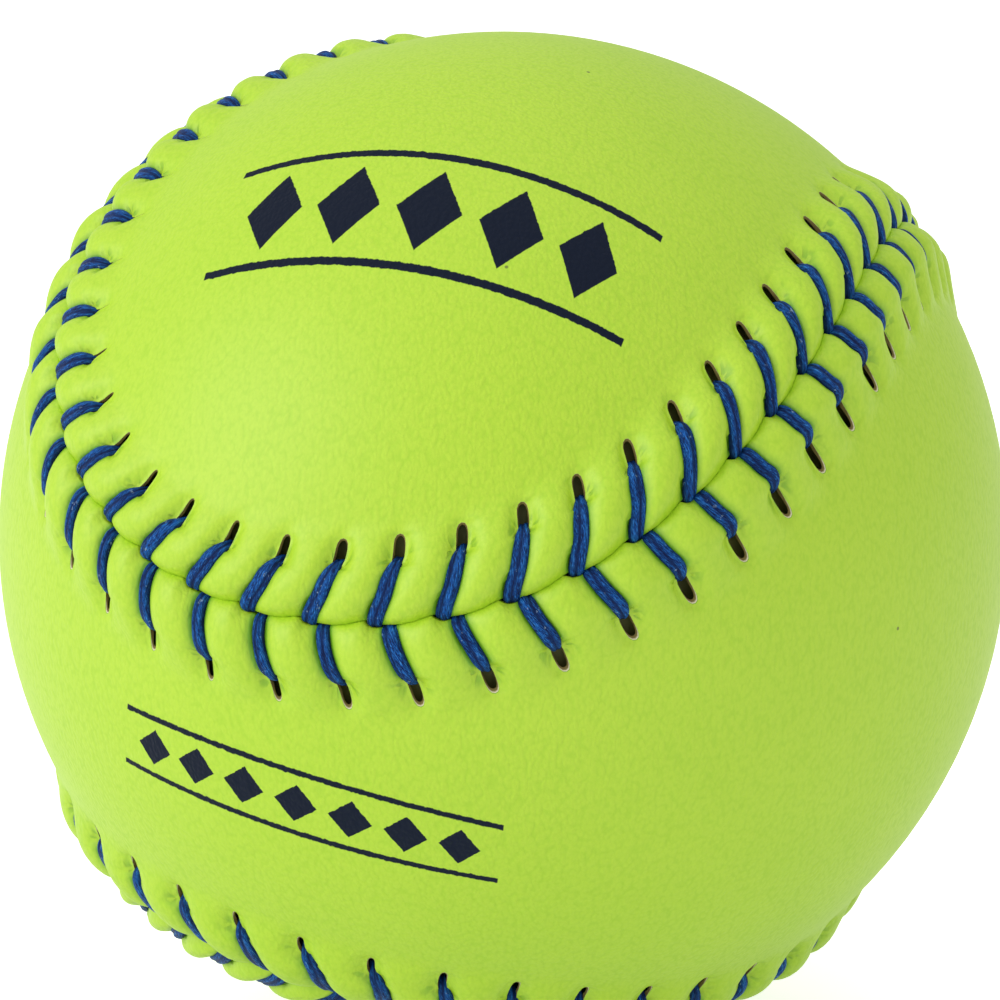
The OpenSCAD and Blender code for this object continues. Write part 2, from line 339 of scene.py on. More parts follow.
@dataclass
class Stitching:
    """Where the two rows of holes are punched, and how the cover is drawn up round the stitches.

    Distances are from the seam and heights are over the smooth ball. A span is where a smooth step starts
    and ends.
    """

    seam: Seam
    dive_step: float = 0.8  # half the step between the two threads where they dive into the seam
    leg_in: float = 0.3  # where a stitch starts to lean over
    leg_out: float = 5.2  # where its slot's own lean takes over
    straight: float = 0.6  # share of the lean that is straight, the rest being a smooth step
    slot_reach: float = 1.4  # where the slot's lean stops, in slots
    bow_at: Span = (4.1, 1.2)  # middle and width of the bell that bow is spread by
    bend_at: Span = (2.4, 1.1)
    drawn: Span = (1.5, 5.0)  # where the cover starts to follow its slot's near end,
    handed_on: Span = (5.4, 7.4)  # passes on to the far end
    let_go: Span = (8.0, 9.8)  # and comes free of it
    slot_in: float = 4.7  # near end of a slot
    slot_out: float = 7.6  # far end of a slot
    slot_w: float = 1.1
    narrowed: Span = (5.2, 5.8)  # where a tight slot narrows
    lip_h: float = 2.08  # on a pillow
    lip_w: float = 9.6  # where the lip has run out
    crest_off: float = 2.4  # where it is highest
    valley_share: float = 0.3  # height of the lip under a stitch, as a share
    plain_share: float = 0.3  # how far it swells beyond the pillows
    pillow_end: Span = (6.8, 9.6)
    valley_half: float = 0.3  # half the flat of a valley
    swell_power: float = 2.4
    roll: float = 0.9  # how soon the edge of the lip rolls over into the seam
    roll_share: float = 0.68  # how far it rolls down, as a share
    dimple_h: float = 0.26  # depth of the dimple that a stitch pulls at its slot
    dimple_r: Span = (1.1, 0.9)  # its reach along and across the seam
    dimple_in: Span = (0.6, 0.3)  # how far it stays inside the slot's two ends
    seed: int = 12

    def __post_init__(self) -> None:
        """Draws what is left to chance, and lists the dives with two rows to spare at either end."""
        rng = np.random.default_rng(self.seed)
        rows = self.seam.rows
        self.chance = {
            name: {side: rng.normal(mean, spread, rows) for side in Side}
            for name, (mean, spread) in CHANCE.items()
        }
        k = np.arange(-2, rows + 3)
        share = self.dive_step / self.seam.pitch
        self.dive_runs = np.stack([self.dive_run(k, side) for side in Side], -1).ravel()
        self.dive_phases = np.stack([k - side.value * share for side in Side], -1).ravel()

    def lay(self, name: str, k: np.ndarray, side: Side) -> np.ndarray:
        """What sets rows apart from the even ones, by its name in Lay.rows."""
        rows, values = zip(*LAYS[side].rows[name])
        return np.interp(k, rows, values, period=self.seam.rows)

    def row_run(self, k: np.ndarray) -> np.ndarray:
        """Place of row k along the seam, where k may lie between two rows."""
        return (k + self.seam.first_row_share) * self.seam.pitch

    def dive_run(self, k: np.ndarray, side: Side) -> np.ndarray:
        """Where stitch k goes down into the seam."""
        return self.row_run(k) - side.value * self.dive_step + self.lay("dive", k, side)

    def hole_run(self, k: np.ndarray, side: Side) -> np.ndarray:
        """Place of the middle of a row's slot along the seam: its lean, its drift and its chance shift.

        Args:
            k: Rows, which may lie between two.
            side: The panel.

        Returns:
            The lengths along the seam.
        """
        rows = self.seam.rows
        shifts = self.chance["shift"][side]
        low = np.floor(k).astype(int)
        share = k - low
        shift = shifts[low % rows] * (1 - share) + shifts[(low + 1) % rows] * share
        return self.row_run(k) + LAYS[side].lean + self.lay("drift", k, side) + shift

    def leg_run(self, k: np.ndarray, side: Side, x: np.ndarray) -> np.ndarray:
        """Where a stitch lies along the seam.

        It leaves the seam beside the other thread and leans over to its slot, which leans by less: a line
        mixed with a smooth step, a second line along the slot, and the bells of bow and bend.

        Args:
            k: Rows.
            side: The panel.
            x: Distances from the seam.

        Returns:
            The lengths along the seam.
        """
        start = self.dive_run(k, side)
        whole = self.hole_run(k, side) - start
        even = whole + self.lay("dive", k, side)
        turn = LAYS[side].turn_share * (even - LAYS[side].turn_from)
        lean = np.clip((x - self.leg_in) / (self.leg_out - self.leg_in), 0, 1)
        bend = self.straight * lean + (1 - self.straight) * ease(lean, 0, 1)
        slot = np.clip((x - self.leg_out) / (self.slot_out - self.leg_out), 0, self.slot_reach)
        bow = self.lay("bow", k, side) * bell(x, *self.bow_at)
        inner = self.lay("bend", k, side) * bell(x, *self.bend_at)
        return start + bend * (whole - turn / 2) + slot * turn + bow + inner

    def out(self, k: np.ndarray, side: Side, x: np.ndarray) -> np.ndarray:
        """True distance from the seam of what an even stitch has at x, as a slot's two ends move.

        Args:
            k: Rows.
            side: The panel.
            x: Distances from the seam in an even row.

        Returns:
            The distances in these rows.
        """
        near = self.lay("near", k, side) * ease(x, *self.drawn) * (1 - ease(x, *self.handed_on))
        far = self.lay("far", k, side) * ease(x, *self.handed_on) * (1 - ease(x, *self.let_go))
        return x + near + far

    def lip(self, x: np.ndarray) -> np.ndarray:
        """A pillow's height at x: 1 - roll_share * exp(-x / roll), eased down past its crest."""
        rolled = 1 - self.roll_share * np.exp(-np.maximum(x, 0) / self.roll)
        return self.lip_h * rolled * (1 - ease(x, self.crest_off, self.lip_w))

    def swell(self, d: np.ndarray) -> np.ndarray:
        """How far a pillow has swelled at d from its stitch: 1 - (1 - share) ** swell_power."""
        share = np.clip((np.abs(d) - self.valley_half) / (self.seam.pitch / 2 - self.valley_half), 0, 1)
        return 1 - (1 - share) ** self.swell_power

    def relief(self, k: np.ndarray, d: np.ndarray | float, x: np.ndarray, side: Side) -> np.ndarray:
        """Height of the outside of the cover.

        Args:
            k: Pillow, by the row before it.
            d: Distance along the seam from the nearest stitch of the panel.
            x: Distance from the edge of the panel.
            side: The panel.

        Returns:
            The lip times a mix of valley and pillow, less the dimple that the stitch pulls at its slot.
        """
        rise = self.swell(d) * self.chance["puff"][side][k % self.seam.rows]
        fade = 1 - ease(x, *self.pillow_end)
        swelled = rise * fade + self.plain_share * (1 - fade)
        share = self.valley_share + (1 - self.valley_share) * swelled
        near = np.clip(x, self.slot_in + self.dimple_in[0], self.slot_out - self.dimple_in[1])
        along, across = self.dimple_r
        dimple = self.dimple_h * np.exp(-((d / along) ** 2) - ((x - near) / across) ** 2)
        return self.lip(x) * share - dimple

    def edge(self, run: np.ndarray, side: Side) -> np.ndarray:
        """How far a panel's edge lies off the seam: its stitch has room, and hides the opening."""
        phase = np.mod(np.interp(run, self.dive_runs, self.dive_phases), 1)
        return side.value * eased_knots(phase, LAYS[side].edge)

    def slot_half(self, k: np.ndarray, side: Side, x: np.ndarray, far: float) -> np.ndarray:
        """Half the width of a slot: a rounded oblong, sqrt(1 - q ** 4) of the half, for q from -1 to 1.

        Args:
            k: Rows.
            side: The panel.
            x: Distances from the seam.
            far: The slot's far end.

        Returns:
            Half the width at each distance. Where the stitches pull straight up, the slots are narrower.
        """
        middle = (self.slot_in + far) / 2
        q = np.clip((x - middle) / (far - middle), -1, 1)
        wide = 1 - (1 - self.lay("wide", k, side)) * ease(x, *self.narrowed)
        return self.slot_w / 2 * wide * np.sqrt(1 - q**4)


@dataclass
class Skin:
    """The front or the back of a panel."""

    points: np.ndarray
    faces: list[np.ndarray]
    cut: np.ndarray  # 0 on the front and the edge, 1 on the back
    sewn: np.ndarray  # distances from the nearest stitch and from the edge, and the pillow
    loops: np.ndarray  # point numbers round each slot
    edge: np.ndarray  # point numbers along the edge


@dataclass
class CoverPanel:
    """One figure-eight panel of leather on its backing, as a closed shell with its slots cut through."""

    name: str
    node: str  # the CAD node that it stands for
    side: Side
    seam: Seam
    stitching: Stitching
    even_share: float  # place of the first even column, in pitches past the first row's
    lobe_eighth: int  # eighths of the seam from its start to the tip of the first lobe
    bevel: float  # how much sooner a slot ends at the back of the panel
    tip_power: float  # how soon a slot's far wall takes the colour of the back, the sooner the lower it is; set per panel as painted light and shade
    wall_power: float = 0.2  # how soon its other walls do
    tip_wall: Span = (1.3, 0.5)  # where the far wall starts and ends, before the slot's far end
    wall_shares: tuple[float, ...] = (0.12, 0.45, 0.8)  # how deep the walls' rings of points lie
    pinch: float = 0.2  # how much narrower a slot is at the back, as a share
    pinched: Span = (5.0, 5.8)
    cover_t: float = 1.7  # thickness away from the seam
    back_h: float = -0.28  # height of the back where it rides over the threads
    back_falls: Span = (8.0, 9.6)
    columns: int = 20  # of points from one stitch to the next
    crowding: float = 0.3  # how much closer they stand by a stitch
    slot_rows: int = 9  # rows of points along a slot
    front_in: tuple[float, ...] = (0.0, 0.09, 0.23, 0.42, 0.68, 1.0, 1.4, 1.9, 2.5, 3.1, 3.7, 4.25)
    front_out: tuple[float, ...] = (7.9, 8.3, 8.8, 9.4, 10.0)
    back_in: tuple[float, ...] = (0.0, 2.2)
    back_out: tuple[float, ...] = (9.0,)
    foot_off: float = 10.8  # where the fine part of the mesh ends
    settle_off: float = 8.0  # where its columns start to draw back to even steps
    edge_reach: float = 1.9  # width of the bell by which the edge's bends die away
    spine_end: float = 112.0  # angle from the panel's waist to each end of its spine
    rings: int = 12  # of points between the lip and the spine
    unsewn: tuple[float, ...] = (9.0, 99.0, 0.0)  # what sewn says away from the seam
    sharp: float = 50.0

    def slot_places(self, is_back: bool) -> np.ndarray:
        """Distances of a slot's rows from the seam, crowded towards its round ends by a sine.

        Args:
            is_back: Whether these are the rows at the back.

        Returns:
            The distances.
        """
        near, far = self.stitching.slot_in, self.slot_end(is_back)
        q = np.sin(np.linspace(-math.pi / 2, math.pi / 2, self.slot_rows))
        return (near + far) / 2 + (far - near) / 2 * q

    def slot_end(self, is_back: bool) -> float:
        """Distance of a slot's far end from the seam, which is less at the back."""
        return self.stitching.slot_out - self.bevel if is_back else self.stitching.slot_out

    def place(self, rows: np.ndarray, is_back: bool) -> tuple[np.ndarray, np.ndarray]:
        """Points of one face of the lip, on a grid of rows, stitches and columns.

        A column follows a stitch's lean out to the slots and is split by the slot in its own pitch. Beyond
        the slots the columns draw back to even steps.

        Args:
            rows: Distances from the edge of the panel.
            is_back: Whether this is the back of the panel.

        Returns:
            The points by row, stitch and column, and for each its distance from the nearest stitch, its
            distance from the edge and the pillow that it lies on.
        """
        s, seam = self.stitching, self.seam
        x = rows[:, None, None]
        k = np.arange(seam.rows)[None, :, None]
        c = np.arange(self.columns + 1)[None, None, :]
        even_share = c / self.columns
        share = even_share - self.crowding * np.sin(TAU * even_share) / TAU
        is_right = c <= self.columns // 2
        d = np.where(is_right, share, share - 1) * seam.pitch
        run = s.leg_run(k + share, self.side, x)
        half = s.slot_half(k + np.where(is_right, 0, 1), self.side, x, self.slot_end(is_back))
        if is_back:
            half = half * (1 - self.pinch * ease(x, *self.pinched))
        cut = np.where(is_right, 1, -1) * half / seam.stretch(run, self.side.value * x)
        run = run + cut * (1 - np.abs(d) / (seam.pitch / 2))
        even = (k + even_share + self.even_share) * seam.pitch
        run = run + ease(x, self.settle_off, self.foot_off) * (even - run)
        if is_back:
            height = self.back_h - (self.back_h + self.cover_t) * ease(x, *self.back_falls)
        else:
            height = s.relief(k, d, x, self.side)
        edge = s.edge(run, self.side) * bell(x, 0, self.edge_reach)
        points = seam.at(run, self.side.value * (s.out(k + share, self.side, x) + edge), height)
        return points, np.stack(np.broadcast_arrays(np.abs(d), x, k + share), -1)

    def lip_numbers(
        self, rows: np.ndarray, slot: np.ndarray, start: int
    ) -> tuple[np.ndarray, np.ndarray]:
        """Point numbers of a lip's grid, in which a slot's two edges share a point only at its ends.

        Args:
            rows: Distances from the edge of the panel.
            slot: Those of them that lie along the slots.
            start: Number of the first point.

        Returns:
            The numbers by row, stitch and column, and which points of the grid are kept.
        """
        kept = np.ones((len(rows), self.seam.rows, self.columns + 1), bool)
        is_slot = (rows > slot[0] + 1e-6) & (rows < slot[-1] - 1e-6)
        kept[~is_slot, :, self.columns] = False
        numbers = np.full(kept.shape, -1)
        numbers[kept] = start + np.arange(kept.sum())
        numbers[~is_slot, :, self.columns] = np.roll(numbers[~is_slot, :, 0], -1, 1)
        return numbers, kept

    def slot_loops(self, numbers: np.ndarray, rows: np.ndarray, slot: np.ndarray) -> np.ndarray:
        """Point numbers round each slot: out along its right edge and back along its left one.

        Args:
            numbers: Point numbers by row, stitch and column.
            rows: Distances of the rows from the edge of the panel.
            slot: Those of them that lie along the slots.

        Returns:
            The numbers, with one slot in each row.
        """
        first, last = (int(np.argmin(np.abs(rows - end))) for end in (slot[0], slot[-1]))
        right = numbers[first : last + 1, :, 0]
        left = np.roll(numbers[last - 1 : first : -1, :, self.columns], 1, 1)
        return np.concatenate([right, left]).T

    def spine(self, count: int, height: float) -> tuple[np.ndarray, np.ndarray]:
        """The middle line of the panel, from one lobe over the waist to the other.

        Args:
            count: Columns that meet on it, in mirrored pairs.
            height: Height over the smooth ball.

        Returns:
            Its points, and the point at which each column ends.
        """
        q = np.mod(np.arange(count) - count * self.lobe_eighth // 8, count)
        a = -math.radians(self.spine_end) * np.cos(TAU * np.arange(count // 2 + 1) / count)
        waist = np.array([0, 0, self.side.value])
        lobe = unit(np.array([self.side.value, -1.0, 0]))
        direction = np.cos(a)[:, None] * waist + np.sin(a)[:, None] * lobe
        return (self.seam.ball_r + height) * direction @ self.seam.turn.T, np.minimum(q, count - q)

    def inside(
        self, rim: np.ndarray, rim_points: np.ndarray, start: int, height: float
    ) -> tuple[np.ndarray, list[np.ndarray]]:
        """The plain part of the panel: rings that go over the ball from the lip's foot to the spine.

        A point of ring m lies a share m / (rings + 1) along the great circle from the foot to the spine.

        Args:
            rim: Point numbers of the foot, by even column.
            rim_points: Their points.
            start: Number of the first new point.
            height: Height over the smooth ball.

        Returns:
            The new points and the faces.
        """
        points, faces = [], []
        directions = unit(rim_points)
        for m in range(1, self.rings + 1):
            halved = len(rim) > 5 * self.seam.rows
            if halved:
                directions = directions[::2]
            count = len(directions)
            spine_points, ends = self.spine(count, height)
            goal = unit(spine_points)[ends]
            angle = np.arccos(np.clip(np.sum(directions * goal, -1), -1, 1))[:, None]
            share = 1 / (self.rings + 2 - m)
            directions = unit(np.sin((1 - share) * angle) * directions + np.sin(share * angle) * goal)
            new = start + np.arange(count)
            start += count
            points.append((self.seam.ball_r + height) * directions)
            faces.append(narrowing(rim, new) if halved else band(rim, new))
            rim = new
        spine_points, ends = self.spine(len(rim), height)
        points.append(spine_points)
        ahead, ends_ahead = np.roll(rim, -1), np.roll(ends, -1)
        from_tip = (ends == 0) | (ends == len(rim) // 2)
        first = np.stack([rim, ahead, start + np.where(from_tip, ends, ends_ahead)], -1)
        second = np.stack([np.where(from_tip, ahead, rim), start + ends_ahead, start + ends], -1)
        return np.concatenate(points), [*faces, first, second]

    def skin(self, is_back: bool, start: int) -> Skin:
        """The front or the back of the panel, from its edge over the lip to its spine.

        Args:
            is_back: Whether this is the back.
            start: Number of its first point.

        Returns:
            The skin.
        """
        slot = self.slot_places(is_back)
        near, far = (self.back_in, self.back_out) if is_back else (self.front_in, self.front_out)
        rows = np.concatenate([near, slot, far, [self.foot_off]])
        grid, sewn = self.place(rows, is_back)
        numbers, kept = self.lip_numbers(rows, slot, start)
        lip = grid[kept]
        corners = [numbers[:-1, :, :-1], numbers[:-1, :, 1:], numbers[1:, :, 1:], numbers[1:, :, :-1]]
        foot = np.roll(numbers[-1, :, :-1].ravel(), round(self.even_share * self.columns))
        height = -self.cover_t if is_back else 0.0
        plain, plain_faces = self.inside(foot, lip[foot - start], start + len(lip), height)
        faces = [np.stack(corners, -1).reshape(-1, 4), *plain_faces]
        edge = numbers[0, :, :-1].ravel()
        cut = np.full(len(lip) + len(plain), float(is_back))
        cut[: edge.size] = 0
        return Skin(
            points=np.concatenate([lip, plain]),
            faces=[f[:, ::-1] for f in faces] if is_back else faces,
            cut=cut,
            sewn=np.concatenate([sewn[kept], np.tile(self.unsewn, (len(plain), 1))]),
            loops=self.slot_loops(numbers, rows, slot),
            edge=edge,
        )

    def build(self) -> bpy.types.Object:
        """The panel's mesh: its front, its back, the edge between them and the walls of its slots.

        Returns:
            The object, on which cut is 0 on the front, share ** power down a wall, and 1 on the back.
        """
        front = self.skin(False, 0)
        back = self.skin(True, len(front.points))
        so_far = np.concatenate([front.points, back.points])
        points, cuts, sewn = [so_far], [front.cut, back.cut], [front.sewn, back.sewn]
        outer, inner = front.loops, back.loops
        slot = self.slot_places(False)
        tip_low, tip_high = (slot[-1] - before for before in self.tip_wall)
        tip = ease(np.concatenate([slot, slot[-2:0:-1]]), tip_low, tip_high)
        tips = np.broadcast_to(tip, outer.shape).ravel()
        power = self.wall_power + (self.tip_power - self.wall_power) * tips
        levels, count = [outer], len(so_far)
        for share in self.wall_shares:
            wall = so_far[outer] * (1 - share) + so_far[inner] * share
            points.append(wall.reshape(-1, 3))
            cuts.append(share**power)
            sewn.append(np.tile(self.unsewn, (outer.size, 1)))
            levels.append(count + np.arange(outer.size).reshape(outer.shape))
            count += outer.size
        levels.append(inner)
        walls = [band(upper, lower) for upper, lower in zip(levels, levels[1:])]
        faces = [*front.faces, *back.faces, band(back.edge, front.edge), *walls]
        if self.side is Side.B:
            faces = [f[:, ::-1] for f in faces]
        layers = {"cut": np.concatenate(cuts), "sewn": np.concatenate(sewn)}
        return store(self.name, np.concatenate(points), faces, layers, self.sharp)

    def dress(self, piece: bpy.types.Object, finish: bpy.types.Material) -> bpy.types.Object:
        """Gives the panel its finish and its place on the ball.

        Args:
            piece: The panel's object.
            finish: Its material.

        Returns:
            The object.
        """
        piece.data.materials.append(finish)
        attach(piece, ROOT)
        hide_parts(self.node)
        return piece


@dataclass
class Thread:
    """One waxed thread: a closed run of stitches that lies on panel A and on panel B by turns."""

    name: str
    node: str  # the CAD node that it stands for
    first: int  # 0 where its first stitch lies on panel A, 1 where it lies on panel B
    seam: Seam
    stitching: Stitching
    hidden_h: float = -1.03  # height of its hidden runs
    facets: int = 24  # points round the thread
    slims: Span = (2.5, 4.6)  # where a slim inner end comes to full width
    deepen: float = 0.4  # how much of that slimness it gains in depth
    blur_reach: int = 4  # rings on each side that smooth its way
    blur_w: float = 1.15  # spread of that bell, in rings
    turn_w: float = 0.5  # how far its plies turn along a stitch
    groove_w: float = 0.32  # width of the groove between its plies, as an angle
    groove_share: float = 0.28  # depth of the groove, as a share
    strand_turn: float = 0.25  # how far its strands turn in a millimetre
    painted_flank_shade: float = 0.9  # how dark the shade painted on its flanks is
    flank_power: int = 6  # how narrow they are
    sharp: float = 70.0

    def knots(self, side: Side) -> tuple[np.ndarray, ...]:
        """The thread's way through one stitch, from the slot over the lip to the seam.

        Args:
            side: The panel that the stitch lies on.

        Returns:
            For each knot its distance from the seam, its ride over the valley or its height below it,
            whether it rides, the thread's half width and half thickness, and the points to the next knot.
        """
        dive = LAYS[side].dive_off
        table = np.array([
            (5.40, self.hidden_h, 0, 0.58, 0.48, 3),
            (5.20, -0.40, 0, 0.48, 0.46, 3),
            (5.00, 0.08, 1, 0.57, 0.46, 3),
            (4.45, 0.31, 1, 0.73, 0.47, 4),
            (3.60, 0.39, 1, 0.80, 0.48, 4),
            (2.70, 0.41, 1, 0.83, 0.49, 4),
            (1.90, 0.42, 1, 0.83, 0.49, 3),
            (1.20, 0.37, 1, 0.83, 0.49, 3),
            (dive + 0.40, 0.23, 1, 0.84, 0.50, 3),
            (dive + 0.10, -0.10, 1, 0.84, 0.50, 3),
            (dive, -0.80, 0, 0.78, 0.46, 8),
        ])
        return tuple(table.T)

    def path(self) -> tuple[np.ndarray, ...]:
        """The thread's middle line and its half widths, smoothed over by a narrow bell.

        Returns:
            Points, half widths, half thicknesses, directions along the seam and twists, each by ring.
        """
        s, seam = self.stitching, self.seam
        n = np.arange(seam.rows)
        k = (seam.rows - n) % seam.rows
        is_a = (n + self.first) % 2 == 0
        runs, offs, heights, widths, depths, twists = [], [], [], [], [], []
        for side in Side:
            x, ride, rides, width, depth, steps = self.knots(side)
            valley = s.relief(k[:, None], 0.0, np.maximum(x, 0)[None, :], side)
            girth = s.chance["girth"][side][k][:, None]
            slim = 1 - (1 - s.lay("girth", k, side))[:, None] * (1 - ease(x, *self.slims))[None, :]
            runs.append(s.leg_run(k[:, None], side, x[None, :]))
            offs.append(side.value * s.out(k[:, None], side, x[None, :]))
            heights.append(np.where(rides > 0, valley + ride + s.chance["ride"][side][k][:, None], ride))
            widths.append(width * slim * girth)
            depths.append(depth * (1 + self.deepen - self.deepen * slim) * girth)
            twists.append(s.chance["twist"][side][k])
        steps = steps.astype(int)
        shares = np.concatenate([np.arange(count) / count for count in steps])
        at = np.repeat(np.arange(len(steps)), steps)

        def smoothed(values: np.ndarray) -> np.ndarray:
            """Fills in the knots by straight lines, then averages each value with its neighbours.

            Args:
                values: Numbers or vectors, by stitch and knot.

            Returns:
                The same, by ring.
            """
            ahead = np.roll(values.reshape(-1, values.shape[-1]), -1, 0).reshape(values.shape)
            dense = values[:, at] * (1 - shares[:, None]) + ahead[:, at] * shares[:, None]
            flat = dense.reshape(-1, values.shape[-1])
            weights = np.exp(-0.5 * (np.arange(-self.blur_reach, self.blur_reach + 1) / self.blur_w) ** 2)
            moved = [np.roll(flat, self.blur_reach - i, 0) * weight for i, weight in enumerate(weights)]
            return np.sum(moved, 0) / weights.sum()

        run, off, height, width, depth = (
            np.where(is_a[:, None], *pair) for pair in (runs, offs, heights, widths, depths)
        )
        turn = np.linspace(-0.5, 0.5, len(at))[None, :]
        twist = (math.pi / 2 + np.where(is_a, *twists)[:, None] + self.turn_w * turn).ravel()
        along = np.repeat(seam.along(s.row_run(k)), len(at), 0)
        wide, deep = (smoothed(half[..., None])[:, 0] for half in (width, depth))
        return smoothed(seam.at(run, off, height)), wide, deep, along, twist

    def build(self) -> bpy.types.Object:
        """The thread's mesh: an oval ring at each point, drawn in along a groove where its two plies meet.

        Returns:
            The object, on which strand holds a place among the twisted strands and groove the painted
            shade, in the groove between its plies and on its flanks.
        """
        centre, wide, deep, along, twist = self.path()
        tangent = unit(np.roll(centre, -1, 0) - np.roll(centre, 1, 0))
        across = unit(along - np.sum(along * tangent, -1, keepdims=True) * tangent)
        out = np.cross(tangent, across)
        theta = np.linspace(0, TAU, self.facets, endpoint=False)[None, :]
        groove = np.zeros((len(centre), self.facets))
        for ply in (0, math.pi):
            gap = np.angle(np.exp(1j * (theta - twist[:, None] - ply)))
            groove += bell(gap, 0, self.groove_w)
        u = (wide[:, None] * np.cos(theta) * (1 - self.groove_share * groove))[..., None]
        v = (deep[:, None] * np.sin(theta) * (1 - self.groove_share * groove))[..., None]
        points = centre[:, None] + u * across[:, None] + v * out[:, None]
        length = np.cumsum(np.linalg.norm(np.diff(centre, axis=0, prepend=centre[:1]), axis=1))
        lay = theta + self.strand_turn * length[:, None]
        strand = np.stack([np.cos(lay), np.sin(lay), length[:, None] + 0 * lay], -1)
        numbers = np.arange(groove.size).reshape(groove.shape)
        quads = band(numbers, np.roll(numbers, -1, 0))
        # Painted shade on the thread's sides, where it meets the leather, stored with the groove.
        flank_shade = self.painted_flank_shade * np.cos(theta) ** self.flank_power
        layers = {"strand": strand.reshape(-1, 3), "groove": np.maximum(groove, flank_shade).ravel()}
        return store(self.name, points.reshape(-1, 3), [quads], layers, self.sharp)

    def dress(self, piece: bpy.types.Object, finish: bpy.types.Material) -> bpy.types.Object:
        """Gives the thread its finish and its place on the ball.

        Args:
            piece: The thread's object.
            finish: Its material.

        Returns:
            The object.
        """
        piece.data.materials.append(finish)
        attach(piece, ROOT)
        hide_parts(self.node)
        return piece


class Signal:
    """A number that varies over a surface: an output socket, to which arithmetic adds Math nodes."""

    def __init__(self, shader: "Shader", socket: bpy.types.NodeSocket) -> None:
        """Keeps the socket and the shader that it belongs to."""
        self.shader = shader
        self.socket = socket

    def math(self, operation: str, *operands: "Signal | float", clamp: bool = False) -> "Signal":
        """A Math node on this value and others, in order."""
        return self.shader.math(operation, self, *operands, clamp=clamp)

    def __add__(self, other: "Signal | float") -> "Signal":
        """This value and another."""
        return self.math("ADD", other)

    __radd__ = __add__

    def __sub__(self, other: "Signal | float") -> "Signal":
        """This value less another."""
        return self.math("SUBTRACT", other)

    def __rsub__(self, other: float) -> "Signal":
        """A number less this value."""
        return self.shader.math("SUBTRACT", other, self)

    def __mul__(self, other: "Signal | float") -> "Signal":
        """This value times another."""
        return self.math("MULTIPLY", other)

    __rmul__ = __mul__

    def __truediv__(self, other: "Signal | float") -> "Signal":
        """This value over another."""
        return self.math("DIVIDE", other)

    def __abs__(self) -> "Signal":
        """The size of this value."""
        return self.math("ABSOLUTE")

    def step(self, low: float, high: float) -> "Signal":
        """A smooth step of this value.

        Args:
            low: Where it is 0.
            high: Where it is 1, which may be the lower of the two.

        Returns:
            The step.
        """
        if low > high:
            return 1 - self.step(high, low)
        settings = {"interpolation_type": "SMOOTHSTEP"}
        return self.shader.read(self.shader.add("ShaderNodeMapRange", settings, {0: self, 1: low, 2: high}))


class Shader:
    """The node tree of a material or of the world, with one method that makes its nodes."""

    def __init__(self, owner: bpy.types.Material | bpy.types.World) -> None:
        """Empties the tree.

        Args:
            owner: The material or the world.
        """
        owner.use_nodes = True
        self.owner = owner
        self.tree = owner.node_tree
        self.tree.nodes.clear()

    def add(
        self, kind: str, settings: dict[str, Any] | None = None, inputs: dict[Any, Any] | None = None
    ) -> bpy.types.Node:
        """A new node.

        Args:
            kind: The node's type.
            settings: Its settings, which are set first.
            inputs: Values or links, by the socket's name or number.

        Returns:
            The node.
        """
        node = self.tree.nodes.new(kind)
        for key, value in (settings or {}).items():
            setattr(node, key, value)
        for key, value in (inputs or {}).items():
            if isinstance(value, Signal):
                self.tree.links.new(value.socket, node.inputs[key])
            else:
                is_colour = node.inputs[key].type == "RGBA"
                node.inputs[key].default_value = (*value, 1.0) if is_colour else value
        return node

    def read(self, node: bpy.types.Node, output: int | str = 0) -> Signal:
        """One of a node's outputs."""
        return Signal(self, node.outputs[output])

    def math(self, operation: str, *operands: Signal | float, clamp: bool = False) -> Signal:
        """A Math node on values or numbers."""
        settings = {"operation": operation, "use_clamp": clamp}
        return self.read(self.add("ShaderNodeMath", settings, dict(enumerate(operands))))

    def vector(self, operation: str, *operands: Any, output: int | str = 0) -> Signal:
        """A Vector Math node on vectors."""
        node = self.add("ShaderNodeVectorMath", {"operation": operation}, dict(enumerate(operands)))
        return self.read(node, output)

    def place(self) -> Signal:
        """Object coordinates, in metres."""
        return self.read(self.add("ShaderNodeTexCoord"), "Object")

    def attribute(self, name: str, output: str) -> Signal:
        """A value that the mesh holds at each point."""
        return self.read(self.add("ShaderNodeAttribute", {"attribute_name": name}), output)

    def noise(
        self, vector: Signal, scale: float, detail: float = 2.0, rough: float = 0.5, output: str = "Fac"
    ) -> Signal:
        """Soft noise about 0.5."""
        inputs = {"Vector": vector, "Scale": scale, "Detail": detail, "Roughness": rough}
        return self.read(self.add("ShaderNodeTexNoise", None, inputs), output)

    def cells(self, vector: Signal, scale: float, smooth: float) -> Signal:
        """Distance from the middles of random cells, rounded where cells meet."""
        inputs = {"Vector": vector, "Scale": scale, "Smoothness": smooth}
        return self.read(self.add("ShaderNodeTexVoronoi", {"feature": "SMOOTH_F1"}, inputs), "Distance")

    def mix(self, share: Signal | float, low: Signal | Colour, high: Signal | Colour) -> Signal:
        """A mix of two colours: low at 0 and high at 1."""
        return self.read(self.add("ShaderNodeMix", {"data_type": "RGBA"}, {0: share, 6: low, 7: high}), 2)

    def bump(self, height: Signal, distance_mm: float) -> Signal:
        """A normal that follows a height, whose whole range is a distance in millimetres."""
        inputs = {"Height": height, "Distance": distance_mm * MM, "Strength": 1.0}
        return self.read(self.add("ShaderNodeBump", None, inputs))

    def finish(self, sockets: dict[str, Any]) -> bpy.types.Material:
        """Ends the tree in a Principled surface.

        Args:
            sockets: Values or links, by the name of the surface's socket.

        Returns:
            The material.
        """
        surface = self.add("ShaderNodeBsdfPrincipled", None, sockets)
        self.add("ShaderNodeOutputMaterial", None, {"Surface": self.read(surface)})
        return self.owner


